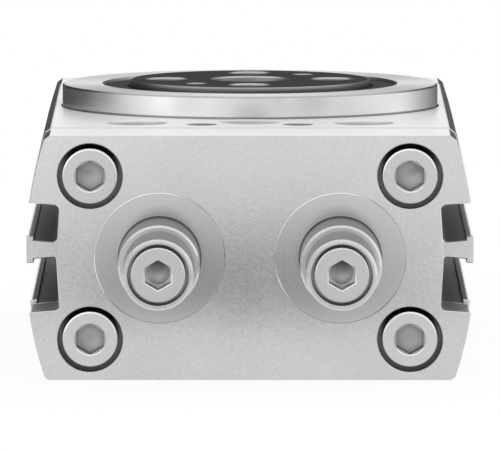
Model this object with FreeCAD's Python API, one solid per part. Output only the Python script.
import FreeCAD, Part
import math
import os

Vector = FreeCAD.Vector
ALONG_Y = Vector(0, 1, 0)
ALONG_Z = Vector(0, 0, 1)

# A compressed-air rotary actuator. Two racks slide in parallel cylinders and turn a pinion between them.
# The pinion's shaft ends in a flange on top. Two adjustable stops at the front limit the swing.
# Sizes are millimetres. The flange turns about Z, the racks run along Y, the front is -Y, the base is z = 0.

# Gear drive
gear_module = 0.8
pinion_teeth = 16
pressure_angle = math.radians(20)
swing = math.radians(180)
backlash = 0.06                 # room left at each flank
pinion_face = 14.0
rack_line_offset = 7.35         # from a cylinder's axis to the pitch line of its rack
tip_room = 1.3                  # from the pinion's tips to the wall of its chamber

# Clearances
fit_gap = 0.02                  # a seated ring or a screwed joint, on the radius
slide_gap = 0.05                # a loose fit such as a screw in its hole, on the radius
rack_gap = 0.30
head_gap = 0.15
band_gap = 0.05
seal_gap = 0.03

# Cylinders and pistons
bore_radius = 10.0
band_width = 3.0
band_depth = 1.1
band_land = 0.8
tooth_runout = 1.9
magnet_length = 3.0
magnet_radius = 9.2
head_length = 8.0
head_spigot_radius = 4.5
head_thread_radius = 3.0
head_thread_length = 7.0
seal_width = 2.8
seal_depth = 2.2
stop_gap = 0.15                 # between a piston and its stop at the end of the swing

# Body
slot_wall = 5.75
floor_wall = 1.55
deck_wall = 1.75
cap_thickness = 14.5
side_radius = 58.0              # the sides bulge
top_chamfer_run = 0.7
top_chamfer_drop = 0.7
bottom_corner_radius = 1.1
cap_inset = 0.08
edge_break = 0.12
face_chamfer = 0.1              # round the screw holes in a cap's outer face

# Sensor slots, two on each side
slot_offset = 4.97              # from mid-height to a slot's middle
slot_depth = 4.8
slot_half_height = 3.43
mouth_half_height = 2.85
lip_thickness = 1.15
slot_corner_radius = 0.7

# Cap screws, M5
cap_screw_x = 24.35
cap_screw_z = 12.45
screw_radius = 2.5
screw_head_radius = 4.25
screw_head_height = 5.0
screw_length = 20.0
screw_socket = 4.0
screw_sink = 0.3                # the heads lie this far below the cap's face
counterbore_radius = 5.0
screw_hole_radius = 2.7
hole_spare_depth = 1.5

# End seals between the caps and the cylinders
cord_radius = 0.75
end_seal_land = 1.5

# Upper bearing
upper_outer_radius = 21.0
upper_section = 6.0             # from a bearing's bore to its outside
upper_width = 7.0
upper_ball_radius = 1.75
upper_ball_count = 16

# Lower bearing
lower_outer_radius = 10.5
lower_section = 4.5
lower_width = 5.0
lower_ball_radius = 1.25
lower_ball_count = 11
race_gap = 0.03
clip_thickness = 1.0
clip_sink = 1.2                 # from the base to the retaining rings
clip_bite = 0.5                 # depth of a retaining ring's groove

# Collar and seal around the flange
collar_radius = 29.5
collar_rise = 3.5               # above the housing's top
collar_chamfer = 0.25
collar_sink = 0.5
collar_side_gap = 0.25
collar_spigot_radius = 23.5
collar_spigot_length = 1.5
collar_lip = 1.1
collar_overlap = 1.6            # how far the lip covers the bearing's outer ring
seal_step = 1.95                # the seal is this much larger than the bearing, on the radius
seal_section = 3.85
seal_recess = 0.4
seal_run_gap = 0.1

# Output flange and its shaft
flange_rise = 0.65              # above the collar
flange_chamfer = 0.5
flange_under_gap = 0.3          # above the collar's lip
shoulder_step = 0.6             # the shaft's shoulder above the lower bearing
shoulder_height = 1.0
hollow_radius = 3.0
shaft_end_sink = 0.5
pilot_radius = 6.0
pilot_depth = 3.0
flange_hole_inset = 6.0         # from the flange's edge to the circle of holes
flange_recess_radius = 3.25
flange_recess_depth = 1.6
flange_thread_radius = 1.7
flange_thread_depth = 8.0
pin_hole_radius = 1.5
pin_hole_turn = math.radians(50)
pin_hole_depth = 5.0
mouth_chamfer = 0.25

# Fixing holes in the top and the base
fixing_x = 17.5
fixing_y = 37.0
middle_fixing_y = 34.8          # the middle hole of a row lies nearer the collar
fixing_recess_radius = 4.5
fixing_recess_depth = 2.1
fixing_thread_radius = 2.5
fixing_thread_depth = 7.5
small_hole_x = 7.4
small_hole_y = 40.0
small_hole_radius = 2.1
small_hole_depth = 7.5

# Stops
disc_radius = 10.0
disc_proud = 0.3
disc_depth = 3.0
hub_radius = 8.0
hub_recess = 2.0
sleeve_radius = 6.2
sleeve_nose_radius = 5.35
sleeve_step = 14.7              # in front of the cap's face
sleeve_reach = 29.5
sleeve_mouth_radius = 4.6
sleeve_mouth_depth = 4.5
sleeve_chamfer = 0.35
disc_mouth_radius = 6.5
disc_mouth_depth = 0.8
stop_screw_radius = 4.1
stop_socket = 4.0
stop_socket_depth = 4.5
bumper_radius = 5.5
bumper_thickness = 2.6
bumper_reach = 3.3              # from the cap's inner face to the bumper's face
bumper_pin_radius = 2.0
bumper_pin_length = 1.6
hub_cord = 0.6                  # radius of the seal cord round a disc's hub
screw_cord = 0.5                # radius of the seal cord on a stop screw

# Air ports in the rear cap, M5
port_radius = 2.1
port_depth = 8.0
port_passage_radius = 1.5
port_face_radius = 4.6
port_face_depth = 0.4

# Places that follow from the sizes above
pitch_radius = gear_module * pinion_teeth / 2
tip_radius = pitch_radius + gear_module
root_radius = pitch_radius - 1.25 * gear_module
tooth_pitch = math.pi * gear_module
half_travel = pitch_radius * swing / 2
rack_addendum = gear_module * min(1.0, 0.475 * pinion_teeth * math.sin(pressure_angle) ** 2)
rack_dedendum = 1.25 * gear_module
chamber_radius = tip_radius + tip_room
bore_x = pitch_radius + rack_line_offset

rack_tooth_count = 2 * math.ceil(half_travel / tooth_pitch + 1.9) + 1
toothed_half = rack_tooth_count * tooth_pitch / 2
rack_radius = bore_radius - rack_gap
rack_half = toothed_half + tooth_runout + band_width + band_land
piston_half = rack_half + magnet_length + head_length
housing_half = piston_half + half_travel + stop_gap + bumper_reach
front_face = -(housing_half + cap_thickness)

upper_bore_radius = upper_outer_radius - upper_section
lower_bore_radius = lower_outer_radius - lower_section
seal_outer_radius = upper_outer_radius + seal_step
flange_radius = seal_outer_radius - seal_section - seal_run_gap
flange_hole_circle = flange_radius - flange_hole_inset

lower_bearing_base = clip_sink + clip_thickness
lower_bearing_top = lower_bearing_base + lower_width
axis_height = lower_bearing_top + floor_wall + bore_radius
upper_bearing_base = axis_height + bore_radius + deck_wall
body_height = upper_bearing_base + upper_width
collar_top = body_height + collar_rise
flange_top = collar_top + flange_rise
seal_seat = body_height + collar_lip
side_half_width = bore_x + bore_radius + slot_wall + slot_depth

end_seal_radius = bore_radius + end_seal_land
counterbore_depth = screw_head_height + screw_sink
hub_end = -(housing_half + hub_recess)
bumper_face = -(housing_half - bumper_reach)
stop_seal_y = front_face + cap_thickness / 2


def rod(radius, start, length, axis):
    """A plain round bar."""
    return Part.makeCylinder(radius, length, start, axis)


def turned(profile, start, axis):
    """A turned solid. The profile is a list of (radius, height), with height along the axis from start."""
    corners = [Vector(radius, 0, height) for radius, height in profile]
    outline = Part.makePolygon(corners + corners[:1])
    solid = Part.Face(outline).revolve(Vector(0, 0, 0), ALONG_Z, 360)
    solid.Placement = FreeCAD.Placement(start, FreeCAD.Rotation(ALONG_Z, axis))
    return solid


def ring(inner, outer, start, length, axis):
    """A plain round tube."""
    return turned([(inner, 0), (outer, 0), (outer, length), (inner, length)], start, axis)


def hole_cutter(radius, depth, mouth, inward, chamfer=mouth_chamfer):
    """A blind round hole with a small chamfer at its mouth."""
    overshoot = 0.5
    wide = radius + chamfer
    profile = [(0, -overshoot), (wide, -overshoot), (wide, 0), (radius, chamfer), (radius, depth), (0, depth)]
    return turned(profile, mouth, inward)


def thread_cutter(recess_radius, recess_depth, thread_radius, thread_depth, mouth, inward):
    """A locating recess with a smaller threaded hole below it, drilled to a point."""
    recess = hole_cutter(recess_radius, recess_depth, mouth, inward)
    drill_point = thread_radius / math.tan(math.radians(59))
    profile = [(0, 0), (thread_radius, 0), (thread_radius, thread_depth), (0, thread_depth + drill_point)]
    return recess.fuse(turned(profile, mouth, inward))


def hexagon(across_flats, start, depth, axis_y):
    """A hexagonal prism along Y with a corner pointing up."""
    corner = across_flats / math.sqrt(3)
    points = []
    for step in range(7):
        turn = math.radians(60 * step)
        points.append(start + Vector(corner * math.sin(turn), 0, corner * math.cos(turn)))
    return Part.Face(Part.makePolygon(points)).extrude(Vector(0, axis_y * depth, 0))


def rounded_prism(corners, start_y, length):
    """A prism along Y. Each corner is (x, z, radius), and a radius of 0 leaves the corner sharp."""
    edges = []
    first_point = None
    last_point = None
    count = len(corners)
    for index in range(count):
        x, z, radius = corners[index]
        corner = Vector(x, start_y, z)
        before = Vector(corners[index - 1][0], start_y, corners[index - 1][1]) - corner
        after = Vector(corners[(index + 1) % count][0], start_y, corners[(index + 1) % count][1]) - corner
        before.normalize()
        after.normalize()
        half_angle = before.getAngle(after) / 2
        entry = corner + before * (radius / math.tan(half_angle))
        leave = corner + after * (radius / math.tan(half_angle))
        if last_point is None:
            first_point = entry
        else:
            edges.append(Part.makeLine(last_point, entry))
        if radius > 0:
            inward = before + after
            inward.normalize()
            middle = corner + inward * (radius / math.sin(half_angle) - radius)
            edges.append(Part.Arc(entry, middle, leave).toShape())
        last_point = leave
    edges.append(Part.makeLine(last_point, first_point))
    return Part.Face(Part.Wire(edges)).extrude(Vector(0, length, 0))


def side_x(height, inset):
    """Half the body's width at a height."""
    rise = height - axis_height
    return side_half_width - inset - side_radius + math.sqrt(side_radius ** 2 - rise ** 2)


def body_blank(start_y, length, inset):
    """The body's outline as a bar along Y, with broken end edges."""
    top = body_height - inset
    base = inset
    shoulder = top - top_chamfer_drop
    top_x = side_x(top, inset) - top_chamfer_run
    shoulder_x = side_x(shoulder, inset)
    middle_x = side_x(axis_height, inset)
    base_x = side_x(base, inset)

    def at(x, z):
        return Vector(x, start_y, z)

    outline = Part.Wire([
        Part.makeLine(at(-base_x, base), at(base_x, base)),
        Part.Arc(at(base_x, base), at(middle_x, axis_height), at(shoulder_x, shoulder)).toShape(),
        Part.makeLine(at(shoulder_x, shoulder), at(top_x, top)),
        Part.makeLine(at(top_x, top), at(-top_x, top)),
        Part.makeLine(at(-top_x, top), at(-shoulder_x, shoulder)),
        Part.Arc(at(-shoulder_x, shoulder), at(-middle_x, axis_height), at(-base_x, base)).toShape(),
    ])
    bar = Part.Face(outline).extrude(Vector(0, length, 0))
    corners = []
    for edge in bar.Edges:
        box = edge.BoundBox
        if box.YLength > length / 2 and box.ZMax < base + 0.01:
            corners.append(edge)
    return bar.makeFillet(bottom_corner_radius, corners)


def end_edges(solid, end_y):
    """The outer edges of the flat end at end_y."""
    found = []
    for face in solid.Faces:
        box = face.BoundBox
        if box.YLength < 0.001 and abs(box.YMin - end_y) < 0.001:
            found.extend(face.OuterWire.Edges)
    return found


def slot_point(outward, along, side, level):
    """A point in a sensor slot's own frame: outward from the body's side, along it away from mid-height."""
    lean = math.asin(slot_offset / side_radius)
    reach = side_radius + outward
    x = side_half_width - side_radius + reach * math.cos(lean) - along * math.sin(lean)
    rise = reach * math.sin(lean) + along * math.cos(lean)
    return side * x, axis_height + level * rise


def sensor_slot(side, level):
    """The cutter for one T-shaped sensor slot."""
    beyond = 3.0
    profile = [
        (-slot_depth, -slot_half_height, slot_corner_radius),
        (-slot_depth, slot_half_height, slot_corner_radius),
        (-lip_thickness, slot_half_height, 0),
        (-lip_thickness, mouth_half_height, 0),
        (beyond, mouth_half_height, 0),
        (beyond, -mouth_half_height, 0),
        (-lip_thickness, -mouth_half_height, 0),
        (-lip_thickness, -slot_half_height, 0),
    ]
    corners = []
    for outward, along, radius in profile:
        x, z = slot_point(outward, along, side, level)
        corners.append((x, z, radius))
    overshoot = 1.0
    return rounded_prism(corners, -housing_half - overshoot, 2 * (housing_half + overshoot))


def cap_notch(side, start_y, length):
    """The cutter that opens a cap's side to both sensor slots."""
    beyond = 3.0
    upper_in = slot_point(-slot_depth, slot_half_height, side, 1)
    upper_out = slot_point(beyond, slot_half_height, side, 1)
    lower_in = slot_point(-slot_depth, slot_half_height, side, -1)
    lower_out = slot_point(beyond, slot_half_height, side, -1)
    middle = side * (side_half_width - slot_depth)
    corners = [
        (upper_in[0], upper_in[1], slot_corner_radius),
        (upper_out[0], upper_out[1], 0),
        (lower_out[0], lower_out[1], 0),
        (lower_in[0], lower_in[1], slot_corner_radius),
        (middle, axis_height, 0),
    ]
    return rounded_prism(corners, start_y, length)


def cap_screw_places(face_y):
    """The four cap screws' places on one end plane."""
    places = []
    for x in (-cap_screw_x, cap_screw_x):
        for rise in (-cap_screw_z, cap_screw_z):
            places.append(Vector(x, face_y, axis_height + rise))
    return places


def make_housing():
    """The extruded body with its cylinders, pinion chamber, bearing seats, sensor slots and fixing holes."""
    solid = body_blank(-housing_half, 2 * housing_half, 0)
    solid = solid.cut([sensor_slot(side, level) for side in (-1, 1) for level in (-1, 1)])
    broken = end_edges(solid, -housing_half) + end_edges(solid, housing_half)
    solid = solid.makeChamfer(edge_break, broken)
    cutters = []
    for x in (-bore_x, bore_x):
        start = Vector(x, -housing_half - 1, axis_height)
        cutters.append(rod(bore_radius, start, 2 * housing_half + 2, ALONG_Y))
    thread_depth = screw_length - (cap_thickness - counterbore_depth) + hole_spare_depth
    for place in cap_screw_places(-housing_half):
        cutters.append(hole_cutter(screw_radius + slide_gap, thread_depth, place, ALONG_Y))
    for place in cap_screw_places(housing_half):
        cutters.append(hole_cutter(screw_radius + slide_gap, thread_depth, place, -ALONG_Y))

    seat_relief_radius = (upper_bore_radius + upper_outer_radius) / 2 + upper_ball_radius / 2
    seat_relief = 0.5
    shaft_opening = [
        (0, -1),
        (lower_outer_radius + fit_gap, -1),
        (lower_outer_radius + fit_gap, clip_sink),
        (lower_outer_radius + clip_bite, clip_sink),
        (lower_outer_radius + clip_bite, lower_bearing_base),
        (lower_outer_radius + fit_gap, lower_bearing_base),
        (lower_outer_radius + fit_gap, lower_bearing_top),
        (chamber_radius, lower_bearing_top),
        (chamber_radius, upper_bearing_base - seat_relief),
        (seat_relief_radius, upper_bearing_base - seat_relief),
        (seat_relief_radius, upper_bearing_base),
        (upper_outer_radius + fit_gap, upper_bearing_base),
        (upper_outer_radius + fit_gap, body_height - collar_sink - collar_spigot_length),
        (collar_spigot_radius + fit_gap, body_height - collar_sink - collar_spigot_length),
        (collar_spigot_radius + fit_gap, body_height - collar_sink),
        (collar_radius + collar_side_gap, body_height - collar_sink),
        (collar_radius + collar_side_gap, body_height + 1),
        (0, body_height + 1),
    ]
    cutters.append(turned(shaft_opening, Vector(0, 0, 0), ALONG_Z))

    for end in (-1, 1):
        for x, y in ((-fixing_x, fixing_y), (0, middle_fixing_y), (fixing_x, fixing_y)):
            cutters.append(thread_cutter(fixing_recess_radius, fixing_recess_depth, fixing_thread_radius,
                                         fixing_thread_depth, Vector(x, end * y, body_height), -ALONG_Z))
        for x in (-fixing_x, fixing_x):
            base = Vector(x, end * fixing_y, 0)
            cutters.append(rod(fixing_thread_radius, base, fixing_thread_depth, ALONG_Z))
    for y in (-small_hole_y, small_hole_y):
        for x in (-small_hole_x, small_hole_x):
            mouth = Vector(x, y, body_height)
            cutters.append(hole_cutter(small_hole_radius, small_hole_depth, mouth, -ALONG_Z))
    return solid.cut(cutters)


def cap_blank(start_y, face_y):
    """An end cap's outline with the side notches and the screw holes. The heads lie behind face_y."""
    solid = body_blank(start_y, cap_thickness, cap_inset)
    solid = solid.cut([cap_notch(side, start_y - 1, cap_thickness + 2) for side in (-1, 1)])
    far_y = start_y + cap_thickness
    solid = solid.makeChamfer(edge_break, end_edges(solid, start_y) + end_edges(solid, far_y))
    inward = ALONG_Y if face_y < 0 else -ALONG_Y
    cutters = []
    for place in cap_screw_places(face_y):
        cutters.append(hole_cutter(counterbore_radius, counterbore_depth, place, inward, face_chamfer))
        cutters.append(rod(screw_hole_radius, place, cap_thickness + 1, inward))
    return solid.cut(cutters)


def end_seal_cutters(inner_face_y, outward_y):
    """The round grooves for the end seals in a cap's inner face."""
    groove_half_width = cord_radius + 0.2
    groove_depth = 2 * cord_radius - 0.05
    grooves = []
    for x in (-bore_x, bore_x):
        grooves.append(ring(end_seal_radius - groove_half_width, end_seal_radius + groove_half_width,
                            Vector(x, inner_face_y, axis_height), groove_depth, Vector(0, outward_y, 0)))
    return grooves


def make_end_seals(inner_face_y, outward_y):
    """Two seal rings, each pressed flat in its groove by the housing's end."""
    squeeze = 0.1
    height = 2 * cord_radius - squeeze
    profile_half = cord_radius + squeeze / 2
    rings = []
    for x in (-bore_x, bore_x):
        start = Vector(x, inner_face_y + outward_y * 0.01, axis_height)
        bevel = cord_radius * 0.45
        profile = [
            (end_seal_radius - profile_half, bevel),
            (end_seal_radius - profile_half + bevel, 0),
            (end_seal_radius + profile_half - bevel, 0),
            (end_seal_radius + profile_half, bevel),
            (end_seal_radius + profile_half, height - bevel),
            (end_seal_radius + profile_half - bevel, height),
            (end_seal_radius - profile_half + bevel, height),
            (end_seal_radius - profile_half, height - bevel),
        ]
        rings.append(turned(profile, start, Vector(0, outward_y, 0)))
    return Part.makeCompound(rings)


def make_front_cap():
    """The front cap, bored for the two stops."""
    solid = cap_blank(front_face, front_face)
    cutters = end_seal_cutters(-housing_half, -1)
    for x in (-bore_x, bore_x):
        mouth = Vector(x, front_face, axis_height)
        cutters.append(rod(disc_radius + fit_gap, mouth, disc_depth, ALONG_Y))
        cutters.append(rod(hub_radius + slide_gap, mouth, cap_thickness + 1, ALONG_Y))
    return solid.cut(cutters)


def make_rear_cap():
    """The rear cap with one air port behind each cylinder."""
    rear_face = -front_face
    solid = cap_blank(housing_half, rear_face)
    cutters = end_seal_cutters(housing_half, 1)
    for x in (-bore_x, bore_x):
        mouth = Vector(x, rear_face, axis_height)
        cutters.append(rod(port_face_radius, mouth, port_face_depth, -ALONG_Y))
        cutters.append(rod(port_radius, mouth, port_face_depth + port_depth, -ALONG_Y))
        cutters.append(rod(port_passage_radius, mouth, cap_thickness + 1, -ALONG_Y))
    return solid.cut(cutters)


def make_cap_screw(face, inward_y):
    """One socket-head screw. The face point is on the cap's outer plane, above the head."""
    inward = Vector(0, inward_y, 0)
    top = face + inward * screw_sink
    under_head = screw_head_height
    tip = under_head + screw_length
    bevel = 0.35
    profile = [
        (0, 0),
        (screw_head_radius - bevel, 0),
        (screw_head_radius, bevel),
        (screw_head_radius, under_head),
        (screw_radius, under_head),
        (screw_radius, tip - bevel),
        (screw_radius - bevel, tip),
        (0, tip),
    ]
    solid = turned(profile, top, inward)
    corner = screw_socket / math.sqrt(3)
    countersink = turned([(0, -0.1), (corner + 0.2, -0.1), (corner - 0.2, 0.3), (0, 0.3)], top, inward)
    socket = hexagon(screw_socket, top, screw_head_height / 2, inward_y)
    return solid.cut([countersink, socket])


def make_cap_screws(face_y, inward_y):
    """The four screws of one cap."""
    return Part.makeCompound([make_cap_screw(place, inward_y) for place in cap_screw_places(face_y)])


def make_collar():
    """The fixed collar that clamps the upper bearing and holds the flange seal."""
    bottom = body_height - collar_sink - collar_spigot_length
    seat = body_height - collar_sink
    profile = [
        (upper_outer_radius + fit_gap, bottom),
        (collar_spigot_radius, bottom),
        (collar_spigot_radius, seat),
        (collar_radius, seat),
        (collar_radius, collar_top - collar_chamfer),
        (collar_radius - collar_chamfer, collar_top),
        (seal_outer_radius + fit_gap + mouth_chamfer, collar_top),
        (seal_outer_radius + fit_gap, collar_top - mouth_chamfer),
        (seal_outer_radius + fit_gap, seal_seat),
        (upper_outer_radius - collar_overlap, seal_seat),
        (upper_outer_radius - collar_overlap, body_height),
        (upper_outer_radius + fit_gap, body_height),
    ]
    return turned(profile, Vector(0, 0, 0), ALONG_Z)


def make_flange_seal():
    """The dark ring that fills the collar around the flange, with a wiping lip."""
    inner = flange_radius + seal_run_gap
    top = collar_top - seal_recess
    lip = 0.3
    profile = [
        (inner + lip, seal_seat),
        (seal_outer_radius, seal_seat),
        (seal_outer_radius, top - lip),
        (seal_outer_radius - lip, top),
        (inner + lip, top),
        (inner, top - lip),
        (inner, seal_seat + 2 * lip),
    ]
    return turned(profile, Vector(0, 0, 0), ALONG_Z)


def pinion_outline():
    """The pinion's involute outline in the XY plane, with a tooth gap on +X."""
    base_radius = pitch_radius * math.cos(pressure_angle)
    tooth_width = tooth_pitch / 2 - backlash

    def involute(angle):
        return math.tan(angle) - angle

    def half_width_angle(radius):
        roll = math.acos(min(1.0, base_radius / radius))
        return tooth_width / (2 * pitch_radius) + involute(pressure_angle) - involute(roll)

    def polar(radius, angle):
        return Vector(radius * math.cos(angle), radius * math.sin(angle), 0)

    flank_start = max(base_radius, root_radius)
    flank_steps = 6
    radii = [flank_start + (tip_radius - flank_start) * step / flank_steps for step in range(flank_steps + 1)]
    tooth_turn = 2 * math.pi / pinion_teeth
    root_half = half_width_angle(flank_start)
    edges = []
    for tooth in range(pinion_teeth):
        middle = (tooth + 0.5) * tooth_turn
        rising = [polar(radius, middle - half_width_angle(radius)) for radius in radii]
        falling = [polar(radius, middle + half_width_angle(radius)) for radius in reversed(radii)]
        rising_curve = Part.BSplineCurve()
        rising_curve.interpolate(rising)
        falling_curve = Part.BSplineCurve()
        falling_curve.interpolate(falling)
        foot = polar(root_radius, middle - root_half)
        far_foot = polar(root_radius, middle + root_half)
        next_foot = polar(root_radius, middle + tooth_turn - root_half)
        gap_middle = polar(root_radius, middle + tooth_turn / 2)
        if flank_start > root_radius:
            edges.append(Part.makeLine(foot, rising[0]))
        edges.append(rising_curve.toShape())
        edges.append(Part.Arc(rising[-1], polar(tip_radius, middle), falling[0]).toShape())
        edges.append(falling_curve.toShape())
        if flank_start > root_radius:
            edges.append(Part.makeLine(falling[-1], far_foot))
        edges.append(Part.Arc(far_foot, gap_middle, next_foot).toShape())
    return Part.Wire(edges)


def make_output_flange():
    """The flange, its hollow shaft and the pinion, in one piece."""
    journal = upper_bore_radius - fit_gap
    lower_journal = lower_bore_radius - fit_gap
    hub = (upper_bore_radius + upper_outer_radius) / 2 - upper_ball_radius
    under_flange = seal_seat + flange_under_gap
    shoulder = lower_bore_radius + shoulder_step
    shaft = root_radius - 0.2
    clip_top = lower_bearing_base
    bevel = 0.3
    profile = [
        (hollow_radius, shaft_end_sink),
        (lower_journal - bevel, shaft_end_sink),
        (lower_journal, shaft_end_sink + bevel),
        (lower_journal, clip_sink),
        (lower_bore_radius - clip_bite, clip_sink),
        (lower_bore_radius - clip_bite, clip_top),
        (lower_journal, clip_top),
        (lower_journal, lower_bearing_top),
        (shoulder, lower_bearing_top),
        (shoulder, lower_bearing_top + shoulder_height),
        (shaft, lower_bearing_top + shoulder_height),
        (shaft, upper_bearing_base),
        (journal, upper_bearing_base),
        (journal, body_height),
        (hub, body_height),
        (hub, under_flange),
        (flange_radius, under_flange),
        (flange_radius, flange_top - flange_chamfer),
        (flange_radius - flange_chamfer, flange_top),
        (pilot_radius + mouth_chamfer, flange_top),
        (pilot_radius, flange_top - mouth_chamfer),
        (pilot_radius, flange_top - pilot_depth),
        (hollow_radius, flange_top - pilot_depth),
    ]
    solid = turned(profile, Vector(0, 0, 0), ALONG_Z)
    teeth = Part.Face(pinion_outline()).extrude(Vector(0, 0, pinion_face))
    teeth.translate(Vector(0, 0, axis_height - pinion_face / 2))
    teeth = teeth.cut(rod(root_radius - 0.4, Vector(0, 0, 0), body_height, ALONG_Z))
    solid = solid.fuse(teeth).removeSplitter()
    cutters = []
    for quarter in range(4):
        turn = quarter * math.pi / 2
        mouth = Vector(flange_hole_circle * math.cos(turn), flange_hole_circle * math.sin(turn), flange_top)
        cutters.append(thread_cutter(flange_recess_radius, flange_recess_depth, flange_thread_radius,
                                     flange_thread_depth, mouth, -ALONG_Z))
    for turn in (pin_hole_turn, pin_hole_turn + math.pi):
        mouth = Vector(flange_hole_circle * math.cos(turn), flange_hole_circle * math.sin(turn), flange_top)
        cutters.append(hole_cutter(pin_hole_radius, pin_hole_depth, mouth, -ALONG_Z))
    return solid.cut(cutters)


def make_bearing(bore, outer, width, ball_radius, ball_count, base):
    """A ball bearing about Z: its outer ring, inner ring, balls and cage."""
    middle = base + width / 2
    pitch = (bore + outer) / 2
    shoulder = 0.6 * ball_radius
    race = Part.makeTorus(pitch, ball_radius + race_gap, Vector(0, 0, middle), ALONG_Z)
    outer_ring = ring(pitch + shoulder, outer, Vector(0, 0, base), width, ALONG_Z).cut(race)
    inner_ring = ring(bore, pitch - shoulder, Vector(0, 0, base), width, ALONG_Z).cut(race)
    cage_wall = 0.65 * shoulder
    cage_height = 2 * ball_radius + 1.2
    cage_base = Vector(0, 0, middle - cage_height / 2)
    cage = ring(pitch - cage_wall, pitch + cage_wall, cage_base, cage_height, ALONG_Z)
    balls = []
    pockets = []
    for index in range(ball_count):
        turn = 2 * math.pi * index / ball_count
        outward = Vector(math.cos(turn), math.sin(turn), 0)
        centre = outward * pitch + Vector(0, 0, middle)
        balls.append(Part.makeSphere(ball_radius, centre))
        pockets.append(rod(ball_radius + slide_gap, centre - outward * pitch / 2, pitch, outward))
    return outer_ring, inner_ring, Part.makeCompound(balls), cage.cut(pockets)


def make_clip(inner, outer, lug_circle, lug_radius, opening):
    """A flat retaining ring with an opening and two eyes for pliers."""
    start = Vector(0, 0, clip_sink + 0.01)
    thickness = clip_thickness - 0.02
    solid = ring(inner, outer, start, thickness, ALONG_Z)
    eyes = []
    for hand in (-1, 1):
        place = start + Vector(hand * (opening / 2 + lug_radius), -lug_circle, 0)
        solid = solid.fuse(rod(lug_radius, place, thickness, ALONG_Z))
        eyes.append(rod(lug_radius * 0.45, place - ALONG_Z, thickness + 2, ALONG_Z))
    gap = Part.makeBox(opening, outer, thickness + 2, Vector(-opening / 2, -outer - 1, clip_sink - 1))
    return solid.cut(eyes + [gap]).removeSplitter()


def make_rack():
    """The right-hand rack: a round bar with teeth milled into the side that faces the pinion."""
    middle = Vector(bore_x, 0, axis_height)
    bar = rod(rack_radius, middle - ALONG_Y * rack_half, 2 * rack_half, ALONG_Y)
    tip_x = pitch_radius - rack_addendum
    root_x = pitch_radius + rack_dedendum
    inner_x = bore_x - bore_radius - 1
    tall = 2 * bore_radius + 2
    low = axis_height - tall / 2
    flat = Part.makeBox(tip_x - inner_x, 2 * toothed_half, tall, Vector(inner_x, -toothed_half, low))
    cutters = [flat]
    slope = math.tan(pressure_angle)
    for index in range(rack_tooth_count + 1):
        gap_y = (index - rack_tooth_count / 2) * tooth_pitch
        half_gap = tooth_pitch / 4 + backlash / 2
        wide = half_gap + rack_addendum * slope
        narrow = half_gap - rack_dedendum * slope
        points = [
            Vector(tip_x - 0.01, gap_y - wide, low),
            Vector(root_x, gap_y - narrow, low),
            Vector(root_x, gap_y + narrow, low),
            Vector(tip_x - 0.01, gap_y + wide, low),
        ]
        cutters.append(Part.Face(Part.makePolygon(points + points[:1])).extrude(Vector(0, 0, tall)))
    for end in (-1, 1):
        outer_end = middle + ALONG_Y * (end * rack_half)
        inward = ALONG_Y * -end
        band_start = outer_end + inward * band_land
        cutters.append(ring(rack_radius - band_depth, bore_radius + 1, band_start, band_width, inward))
        thread_depth = head_thread_length + hole_spare_depth
        cutters.append(rod(head_thread_radius + slide_gap, outer_end, thread_depth, inward))
    return bar.cut(cutters)


def make_guide_bands():
    """Two plastic bands that carry the right-hand rack in its cylinder."""
    side_room = 0.05
    bands = []
    for end in (-1, 1):
        start = Vector(bore_x, end * (rack_half - band_land - side_room), axis_height)
        bands.append(ring(rack_radius - band_depth + fit_gap, bore_radius - band_gap, start,
                          band_width - 2 * side_room, ALONG_Y * -end))
    return Part.makeCompound(bands)


def make_magnets():
    """Two ring magnets that the sensors feel, one at each end of the right-hand rack."""
    magnets = []
    for end in (-1, 1):
        start = Vector(bore_x, end * rack_half, axis_height)
        magnets.append(ring(head_spigot_radius + fit_gap, magnet_radius, start, magnet_length, ALONG_Y * end))
    return Part.makeCompound(magnets)


def seal_groove_start():
    """How far a piston's seal groove lies from the head's inner face."""
    return (head_length - seal_width) / 2


def make_piston_heads():
    """Two piston heads, each screwed into an end of the right-hand rack through its magnet."""
    heads = []
    radius = bore_radius - head_gap
    groove_base = radius - seal_depth
    groove_room = 0.1
    bevel = 0.4
    groove = seal_groove_start()
    for end in (-1, 1):
        start = Vector(bore_x, end * (rack_half + magnet_length), axis_height)
        profile = [
            (0, -magnet_length - head_thread_length),
            (head_thread_radius, -magnet_length - head_thread_length),
            (head_thread_radius, -magnet_length),
            (head_spigot_radius, -magnet_length),
            (head_spigot_radius, 0),
            (radius, 0),
            (radius, groove - groove_room),
            (groove_base, groove - groove_room),
            (groove_base, groove + seal_width + groove_room),
            (radius, groove + seal_width + groove_room),
            (radius, head_length - bevel),
            (radius - bevel, head_length),
            (0, head_length),
        ]
        heads.append(turned(profile, start, ALONG_Y * end))
    return Part.makeCompound(heads)


def make_piston_seals():
    """Two lip seals, each open towards its air chamber."""
    seals = []
    inner = bore_radius - head_gap - seal_depth + fit_gap
    outer = bore_radius - seal_gap
    middle = (inner + outer) / 2
    groove = seal_groove_start()
    for end in (-1, 1):
        start = Vector(bore_x, end * (rack_half + magnet_length + groove), axis_height)
        profile = [
            (inner, 0),
            (outer - 0.3, 0),
            (outer, seal_width),
            (middle + 0.4, seal_width),
            (middle, seal_width / 2),
            (middle - 0.4, seal_width),
            (inner, seal_width),
        ]
        seals.append(turned(profile, start, ALONG_Y * end))
    return Part.makeCompound(seals)


def on_left(shape):
    """A right-hand rack piece turned round the pinion to the left-hand cylinder."""
    copy = shape.copy()
    copy.rotate(Vector(0, 0, 0), ALONG_Z, 180)
    if pinion_teeth % 2:
        copy.translate(ALONG_Y * (tooth_pitch / 2))
    return copy


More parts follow.
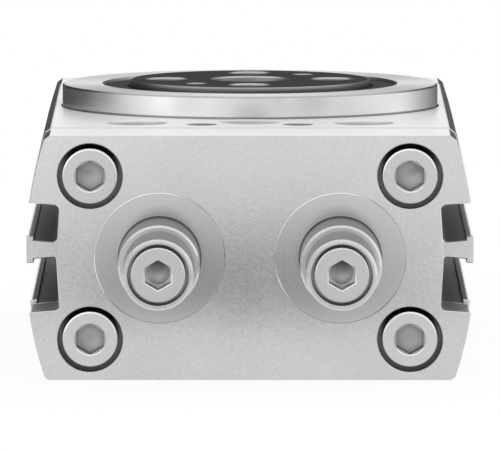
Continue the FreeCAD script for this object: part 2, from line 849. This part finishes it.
def stop_seal_groove(x, surface_radius, cord):
    """The cutter for the groove of a seal cord in a round surface along Y."""
    width = 3 * cord
    start = Vector(x, stop_seal_y - width / 2, axis_height)
    return ring(surface_radius - 2 * cord - fit_gap, surface_radius + 1, start, width, ALONG_Y)


def make_stop_seal(x, surface_radius, cord):
    """A seal cord lying in its groove, just below the surface around it."""
    middle = Vector(x, stop_seal_y, axis_height)
    return Part.makeTorus(surface_radius - cord, cord - fit_gap / 2, middle, ALONG_Y)


def make_stop_disc(x):
    """The round disc that carries a stop in the front cap. Its hub is screwed into the cap."""
    start_y = front_face - disc_proud
    length = hub_end - start_y
    face = disc_proud + disc_depth
    bevel = 0.15
    bore = sleeve_radius + fit_gap
    profile = [
        (disc_mouth_radius, 0),
        (disc_radius - bevel, 0),
        (disc_radius, bevel),
        (disc_radius, face),
        (hub_radius, face),
        (hub_radius, length),
        (bore, length),
        (bore, disc_mouth_depth),
        (disc_mouth_radius, disc_mouth_depth),
    ]
    solid = turned(profile, Vector(x, start_y, axis_height), ALONG_Y)
    return solid.cut(stop_seal_groove(x, hub_radius, hub_cord))


def make_stop_sleeve(x):
    """The stepped sleeve in front of the cap, threaded inside for the stop screw."""
    start_y = front_face - sleeve_reach
    step = sleeve_reach - sleeve_step
    length = hub_end - start_y
    thread = stop_screw_radius + slide_gap
    profile = [
        (sleeve_mouth_radius + sleeve_chamfer / 2, 0),
        (sleeve_nose_radius - sleeve_chamfer, 0),
        (sleeve_nose_radius, sleeve_chamfer),
        (sleeve_nose_radius, step),
        (sleeve_radius - sleeve_chamfer, step),
        (sleeve_radius, step + sleeve_chamfer),
        (sleeve_radius, length),
        (thread, length),
        (thread, sleeve_mouth_depth),
        (sleeve_mouth_radius, sleeve_mouth_depth),
        (sleeve_mouth_radius, sleeve_chamfer / 2),
    ]
    return turned(profile, Vector(x, start_y, axis_height), ALONG_Y)


def make_stop_screw(x):
    """The stop screw, with a hexagon socket in front and a pin for the bumper behind."""
    start_y = front_face - sleeve_reach
    shoulder = bumper_face - bumper_thickness - start_y
    bevel = 0.15
    profile = [
        (0, 0),
        (stop_screw_radius - bevel, 0),
        (stop_screw_radius, bevel),
        (stop_screw_radius, shoulder),
        (bumper_pin_radius, shoulder),
        (bumper_pin_radius, shoulder + bumper_pin_length),
        (0, shoulder + bumper_pin_length),
    ]
    front = Vector(x, start_y, axis_height)
    solid = turned(profile, front, ALONG_Y)
    socket = hexagon(stop_socket, front, stop_socket_depth, 1)
    return solid.cut([socket, stop_seal_groove(x, stop_screw_radius, screw_cord)])


def make_bumper(x):
    """The elastic pad on the stop screw's inner end."""
    bevel = 0.5
    hole = bumper_pin_radius + slide_gap
    depth = bumper_pin_length + slide_gap
    profile = [
        (hole, 0),
        (bumper_radius, 0),
        (bumper_radius, bumper_thickness - bevel),
        (bumper_radius - bevel, bumper_thickness),
        (0, bumper_thickness),
        (0, depth),
        (hole, depth),
    ]
    return turned(profile, Vector(x, bumper_face - bumper_thickness, axis_height), ALONG_Y)


pieces = {
    "housing": make_housing(),
    "front_cap": make_front_cap(),
    "rear_cap": make_rear_cap(),
    "front_cap_screws": make_cap_screws(front_face, 1),
    "rear_cap_screws": make_cap_screws(-front_face, -1),
    "front_cap_seals": make_end_seals(-housing_half, -1),
    "rear_cap_seals": make_end_seals(housing_half, 1),
    "bearing_collar": make_collar(),
    "flange_seal": make_flange_seal(),
    "output_flange": make_output_flange(),
}

bearing_sizes = {
    "upper_bearing": (upper_bore_radius, upper_outer_radius, upper_width, upper_ball_radius, upper_ball_count,
                      upper_bearing_base),
    "lower_bearing": (lower_bore_radius, lower_outer_radius, lower_width, lower_ball_radius, lower_ball_count,
                      lower_bearing_base),
}
for name, sizes in bearing_sizes.items():
    outer_ring, inner_ring, balls, cage = make_bearing(*sizes)
    pieces[name + "_outer_ring"] = outer_ring
    pieces[name + "_inner_ring"] = inner_ring
    pieces[name + "_balls"] = balls
    pieces[name + "_cage"] = cage
pieces["housing_clip"] = make_clip(lower_outer_radius - 1.6, lower_outer_radius + clip_bite - fit_gap,
                                   lower_outer_radius - 1.5, 1.0, 3.0)
pieces["shaft_clip"] = make_clip(lower_bore_radius - clip_bite + fit_gap, lower_bore_radius + 0.9,
                                 lower_bore_radius + 0.7, 0.7, 1.6)

rack_pieces = {
    "rack": make_rack(),
    "guide_bands": make_guide_bands(),
    "magnets": make_magnets(),
    "piston_heads": make_piston_heads(),
    "piston_seals": make_piston_seals(),
}
for name, shape in rack_pieces.items():
    pieces["right_" + name] = shape
    pieces["left_" + name] = on_left(shape)

for side, x in (("left", -bore_x), ("right", bore_x)):
    pieces[side + "_stop_disc"] = make_stop_disc(x)
    pieces[side + "_stop_sleeve"] = make_stop_sleeve(x)
    pieces[side + "_stop_screw"] = make_stop_screw(x)
    pieces[side + "_stop_bumper"] = make_bumper(x)
    pieces[side + "_disc_seal"] = make_stop_seal(x, hub_radius, hub_cord)
    pieces[side + "_screw_seal"] = make_stop_seal(x, stop_screw_radius, screw_cord)

os.makedirs("parts", exist_ok=True)
for name, shape in pieces.items():
    shape.exportStep(os.path.join("parts", name + ".step"))
    print(name, len(shape.Solids), round(shape.Volume, 1))
